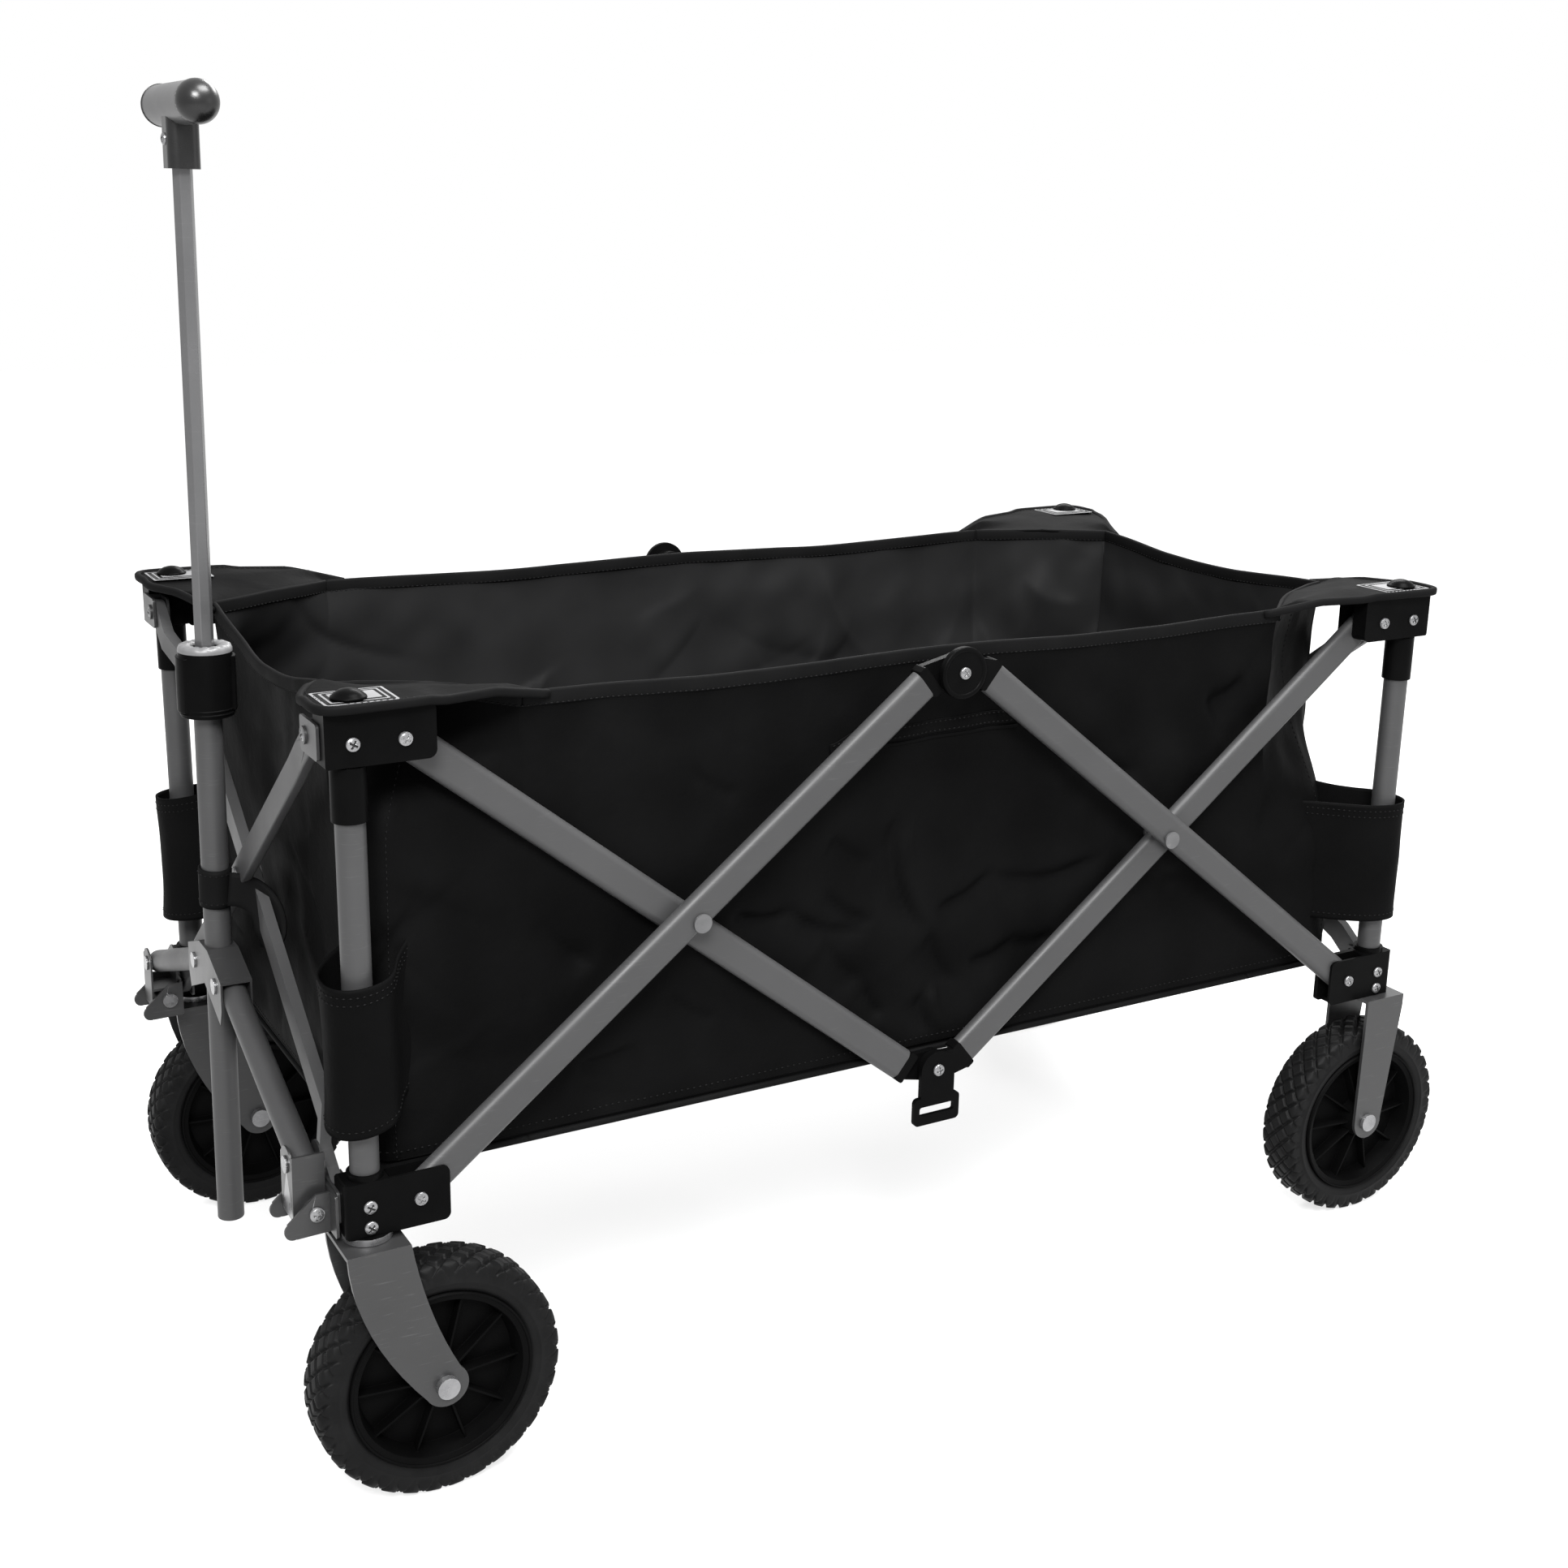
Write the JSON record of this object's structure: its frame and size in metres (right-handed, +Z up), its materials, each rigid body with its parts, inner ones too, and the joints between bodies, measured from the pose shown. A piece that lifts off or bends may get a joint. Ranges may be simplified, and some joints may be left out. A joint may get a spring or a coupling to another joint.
{
  "type": "folding pull wagon",
  "caption": "Folding pull wagon: fabric bag in a steel scissor frame, swivelling front casters, fixed rear wheels and a telescoping pull handle.",
  "frame": {"origin": "centre of the object's plan, on the floor that its wheels stand on", "axes": "+X from the pull handle (front) to the rear, +Y to the side away from a viewer who has the handle on the left, +Z up"},
  "size_m": [1.0594, 0.534, 0.9495],
  "materials": {
    "grey_steel": "satin powder coat",
    "black_plastic": "satin moulded",
    "hub_plastic": "matte moulded",
    "tyre": "matte rubber with block tread",
    "bag_fabric": "woven polyester",
    "board": "fabric covered board",
    "grip_paint": "satin",
    "rod_metal": "satin"
  },
  "bodies": {
    "corner_rl": {"lower_bracket_rl": "black_plastic", "post_rl": "grey_steel", "fork_rl": "grey_steel", "bag": "bag_fabric", "base_board": "board"},
    "corner_rr": {"lower_bracket_rr": "black_plastic", "post_rr": "grey_steel", "fork_rr": "grey_steel"},
    "corner_fl": {"lower_bracket_fl": "black_plastic", "post_fl": "grey_steel", "hinge_plate_l": "grey_steel"},
    "corner_fr": {"lower_bracket_fr": "black_plastic", "post_fr": "grey_steel", "hinge_plate_r": "grey_steel"},
    "upper_rl": {"upper_bracket_rl": "black_plastic", "inner_post_rl": "grey_steel"},
    "upper_rr": {"upper_bracket_rr": "black_plastic", "inner_post_rr": "grey_steel"},
    "upper_fl": {"upper_bracket_fl": "black_plastic", "inner_post_fl": "grey_steel"},
    "upper_fr": {"upper_bracket_fr": "black_plastic", "inner_post_fr": "grey_steel"},
    "bar_rear_out_l": {"side_bar_outer_rl": "grey_steel"},
    "bar_front_out_l": {"side_bar_outer_fl": "grey_steel"},
    "bar_rear_in_l": {"side_bar_inner_rl": "grey_steel"},
    "bar_front_in_l": {"side_bar_inner_fl": "grey_steel"},
    "bar_rear_out_r": {"side_bar_outer_rr": "grey_steel"},
    "bar_front_out_r": {"side_bar_outer_fr": "grey_steel"},
    "bar_rear_in_r": {"side_bar_inner_rr": "grey_steel"},
    "bar_front_in_r": {"side_bar_inner_fr": "grey_steel"},
    "hinge_disc_l": {"top_hinge_l": "black_plastic"},
    "hinge_disc_r": {"top_hinge_r": "black_plastic"},
    "buckle_l": {"strap_buckle_l": "black_plastic"},
    "buckle_r": {"strap_buckle_r": "black_plastic"},
    "rear_x_a": {"rear_bar_inner": "grey_steel"},
    "rear_x_b": {"rear_bar_outer": "grey_steel"},
    "front_x_a": {"front_bar_inner": "grey_steel"},
    "front_x_b": {"front_bar_outer": "grey_steel"},
    "yoke_l": {"yoke_l": "grey_steel"},
    "yoke_r": {"yoke_r": "grey_steel"},
    "cross_l": {"cross_tube_l": "grey_steel"},
    "cross_r": {"cross_tube_r": "grey_steel"},
    "handle": {"handle_bracket": "grey_steel", "handle_tube": "grey_steel", "handle_strap": "bag_fabric"},
    "collar": {"lock_collar": "black_plastic"},
    "rod": {"handle_rod": "rod_metal", "t_socket": "black_plastic", "grip": "grip_paint", "grip_caps": "black_plastic"},
    "caster_fl": {"fork_fl": "grey_steel"},
    "caster_fr": {"fork_fr": "grey_steel"},
    "wheel_fl": {"wheel_hub_fl": "hub_plastic", "tyre_fl": "tyre"},
    "wheel_fr": {"wheel_hub_fr": "hub_plastic", "tyre_fr": "tyre"},
    "wheel_rl": {"wheel_hub_rl": "hub_plastic", "tyre_rl": "tyre"},
    "wheel_rr": {"wheel_hub_rr": "hub_plastic", "tyre_rr": "tyre"}
  },
  "joints": [
    {"name": "fold", "type": "hinge", "parent": "corner_rl", "child": "bar_rear_out_l", "pos_m": [0.40925, -0.24, 0.228], "axis": [0, 1, 0], "range_deg": [0, 38], "deforming": ["bag", "base_board"]},
    {"name": "top_hinge_l", "type": "hinge", "parent": "bar_rear_out_l", "child": "bar_front_out_l", "pos_m": [-0.01675, -0.24, 0.549], "axis": [0, 1, 0], "range_deg": [-76, 0]},
    {"name": "front_outer_bar_l", "type": "hinge", "parent": "bar_front_out_l", "child": "corner_fl", "pos_m": [-0.44275, -0.24, 0.228], "axis": [0, 1, 0], "range_deg": [0, 38]},
    {"name": "rear_crossing_l", "type": "hinge", "parent": "bar_rear_out_l", "child": "bar_rear_in_l", "pos_m": [0.19625, -0.24, 0.3885], "axis": [0, 1, 0], "range_deg": [-76, 0]},
    {"name": "rear_upper_l", "type": "hinge", "parent": "bar_rear_in_l", "child": "upper_rl", "pos_m": [0.40925, -0.24, 0.549], "axis": [0, 1, 0], "range_deg": [0, 38]},
    {"name": "front_crossing_l", "type": "hinge", "parent": "bar_front_out_l", "child": "bar_front_in_l", "pos_m": [-0.22975, -0.24, 0.3885], "axis": [0, 1, 0], "range_deg": [0, 76]},
    {"name": "front_upper_l", "type": "hinge", "parent": "bar_front_in_l", "child": "upper_fl", "pos_m": [-0.44275, -0.24, 0.549], "axis": [0, 1, 0], "range_deg": [-38, 0]},
    {"name": "hinge_disc_l", "type": "hinge", "parent": "bar_rear_out_l", "child": "hinge_disc_l", "pos_m": [-0.01675, -0.24, 0.549], "axis": [0, 1, 0], "range_deg": [-38, 0]},
    {"name": "buckle_l", "type": "hinge", "parent": "bar_rear_in_l", "child": "buckle_l", "pos_m": [-0.01675, -0.24, 0.228], "axis": [0, 1, 0], "range_deg": [0, 38]},
    {"name": "rear_outer_bar_r", "type": "hinge", "parent": "corner_rr", "child": "bar_rear_out_r", "pos_m": [0.40925, 0.24, 0.228], "axis": [0, 1, 0], "range_deg": [0, 38]},
    {"name": "top_hinge_r", "type": "hinge", "parent": "bar_rear_out_r", "child": "bar_front_out_r", "pos_m": [-0.01675, 0.24, 0.549], "axis": [0, 1, 0], "range_deg": [-76, 0]},
    {"name": "front_outer_bar_r", "type": "hinge", "parent": "bar_front_out_r", "child": "corner_fr", "pos_m": [-0.44275, 0.24, 0.228], "axis": [0, 1, 0], "range_deg": [0, 38]},
    {"name": "rear_crossing_r", "type": "hinge", "parent": "bar_rear_out_r", "child": "bar_rear_in_r", "pos_m": [0.19625, 0.24, 0.3885], "axis": [0, 1, 0], "range_deg": [-76, 0]},
    {"name": "front_crossing_r", "type": "hinge", "parent": "bar_front_out_r", "child": "bar_front_in_r", "pos_m": [-0.22975, 0.24, 0.3885], "axis": [0, 1, 0], "range_deg": [0, 76]},
    {"name": "front_upper_r", "type": "hinge", "parent": "bar_front_in_r", "child": "upper_fr", "pos_m": [-0.44275, 0.24, 0.549], "axis": [0, 1, 0], "range_deg": [-38, 0]},
    {"name": "hinge_disc_r", "type": "hinge", "parent": "bar_rear_out_r", "child": "hinge_disc_r", "pos_m": [-0.01675, 0.24, 0.549], "axis": [0, 1, 0], "range_deg": [-38, 0]},
    {"name": "buckle_r", "type": "hinge", "parent": "bar_rear_in_r", "child": "buckle_r", "pos_m": [-0.01675, 0.24, 0.228], "axis": [0, 1, 0], "range_deg": [0, 38]},
    {"name": "rear_lower_l", "type": "hinge", "parent": "corner_rl", "child": "rear_x_a", "pos_m": [0.45675, -0.213, 0.228], "axis": [1, 0, 0], "range_deg": [0, 38]},
    {"name": "rear_x_crossing", "type": "hinge", "parent": "rear_x_a", "child": "rear_x_b", "pos_m": [0.45125, 0, 0.3885], "axis": [1, 0, 0], "range_deg": [-76, 0]},
    {"name": "rear_lower_r", "type": "hinge", "parent": "rear_x_b", "child": "corner_rr", "pos_m": [0.45675, 0.213, 0.228], "axis": [1, 0, 0], "range_deg": [0, 38]},
    {"name": "rear_upper_r", "type": "hinge", "parent": "rear_x_a", "child": "upper_rr", "pos_m": [0.45675, 0.213, 0.549], "axis": [1, 0, 0], "range_deg": [-38, 0]},
    {"name": "front_lower_l", "type": "hinge", "parent": "corner_fl", "child": "front_x_a", "pos_m": [-0.49025, -0.213, 0.228], "axis": [1, 0, 0], "range_deg": [0, 38]},
    {"name": "front_x_crossing", "type": "hinge", "parent": "front_x_a", "child": "front_x_b", "pos_m": [-0.48475, 0, 0.3885], "axis": [1, 0, 0], "range_deg": [-76, 0]},
    {"name": "handle_tilt", "type": "hinge", "parent": "corner_fl", "child": "yoke_l", "pos_m": [-0.50775, -0.205, 0.222], "axis": [0, 1, 0], "range_deg": [-90, 0]},
    {"name": "handle_tilt_r", "type": "hinge", "parent": "corner_fr", "child": "yoke_r", "pos_m": [-0.50775, 0.205, 0.222], "axis": [0, 1, 0], "range_deg": [-90, 0]},
    {"name": "cross_tube_l", "type": "hinge", "parent": "yoke_l", "child": "cross_l", "pos_m": [-0.50983, -0.205, 0.25203], "axis": [0.9999, 0, -0.014], "range_deg": [0, 60.33]},
    {"name": "handle_left_pivot", "type": "hinge", "parent": "cross_l", "child": "handle", "pos_m": [-0.50894, -0.03, 0.31603], "axis": [0.9999, 0, -0.014], "range_deg": [-60.33, 0]},
    {"name": "handle_right_pivot", "type": "hinge", "parent": "handle", "child": "cross_r", "pos_m": [-0.50894, 0.03, 0.31603], "axis": [0.9999, 0, -0.014], "range_deg": [-60.33, 0]},
    {"name": "lock_twist", "type": "hinge", "parent": "handle", "child": "collar", "pos_m": [-0.50581, 0, 0.54], "axis": [0.014, 0, 0.9999], "range_deg": [0, 60]},
    {"name": "rod_slide", "type": "slide", "parent": "handle", "child": "rod", "axis": [0.014, 0, 0.9999], "range_m": [-0.325, 0]},
    {"name": "caster_l", "type": "hinge", "parent": "corner_fl", "child": "caster_fl", "pos_m": [-0.47675, -0.236, 0.2], "axis": [0, 0, 1], "continuous": true},
    {"name": "wheel_fl", "type": "hinge", "parent": "caster_fl", "child": "wheel_fl", "pos_m": [-0.43325, -0.236, 0.089], "axis": [0, 1, 0], "continuous": true},
    {"name": "wheel_rl", "type": "hinge", "parent": "corner_rl", "child": "wheel_rl", "pos_m": [0.44075, -0.234, 0.089], "axis": [0, 1, 0], "continuous": true},
    {"name": "caster_r", "type": "hinge", "parent": "corner_fr", "child": "caster_fr", "pos_m": [-0.47675, 0.236, 0.2], "axis": [0, 0, 1], "continuous": true},
    {"name": "wheel_fr", "type": "hinge", "parent": "caster_fr", "child": "wheel_fr", "pos_m": [-0.43325, 0.236, 0.089], "axis": [0, 1, 0], "continuous": true},
    {"name": "wheel_rr", "type": "hinge", "parent": "corner_rr", "child": "wheel_rr", "pos_m": [0.44075, 0.234, 0.089], "axis": [0, 1, 0], "continuous": true}
  ],
  "couplings": [
    {"joint": "top_hinge_l", "follows": "fold", "ratio": -2},
    {"joint": "front_outer_bar_l", "follows": "fold", "ratio": 1},
    {"joint": "rear_crossing_l", "follows": "fold", "ratio": -2},
    {"joint": "rear_upper_l", "follows": "fold", "ratio": 1},
    {"joint": "front_crossing_l", "follows": "fold", "ratio": 2},
    {"joint": "front_upper_l", "follows": "fold", "ratio": -1},
    {"joint": "hinge_disc_l", "follows": "fold", "ratio": -1},
    {"joint": "buckle_l", "follows": "fold", "ratio": 1},
    {"joint": "rear_outer_bar_r", "follows": "fold", "ratio": 1},
    {"joint": "top_hinge_r", "follows": "fold", "ratio": -2},
    {"joint": "front_outer_bar_r", "follows": "fold", "ratio": 1},
    {"joint": "rear_crossing_r", "follows": "fold", "ratio": -2},
    {"joint": "front_crossing_r", "follows": "fold", "ratio": 2},
    {"joint": "front_upper_r", "follows": "fold", "ratio": -1},
    {"joint": "hinge_disc_r", "follows": "fold", "ratio": -1},
    {"joint": "buckle_r", "follows": "fold", "ratio": 1},
    {"joint": "rear_lower_l", "follows": "fold", "ratio": 1},
    {"joint": "rear_x_crossing", "follows": "fold", "ratio": -2},
    {"joint": "rear_lower_r", "follows": "fold", "ratio": 1},
    {"joint": "rear_upper_r", "follows": "fold", "ratio": -1},
    {"joint": "front_lower_l", "follows": "fold", "ratio": 1},
    {"joint": "front_x_crossing", "follows": "fold", "ratio": -2},
    {"joint": "handle_tilt_r", "follows": "handle_tilt", "ratio": 1},
    {"joint": "cross_tube_l", "follows": "fold", "ratio": 1.5875},
    {"joint": "handle_left_pivot", "follows": "fold", "ratio": -1.5875},
    {"joint": "handle_right_pivot", "follows": "fold", "ratio": -1.5875}
  ]
}
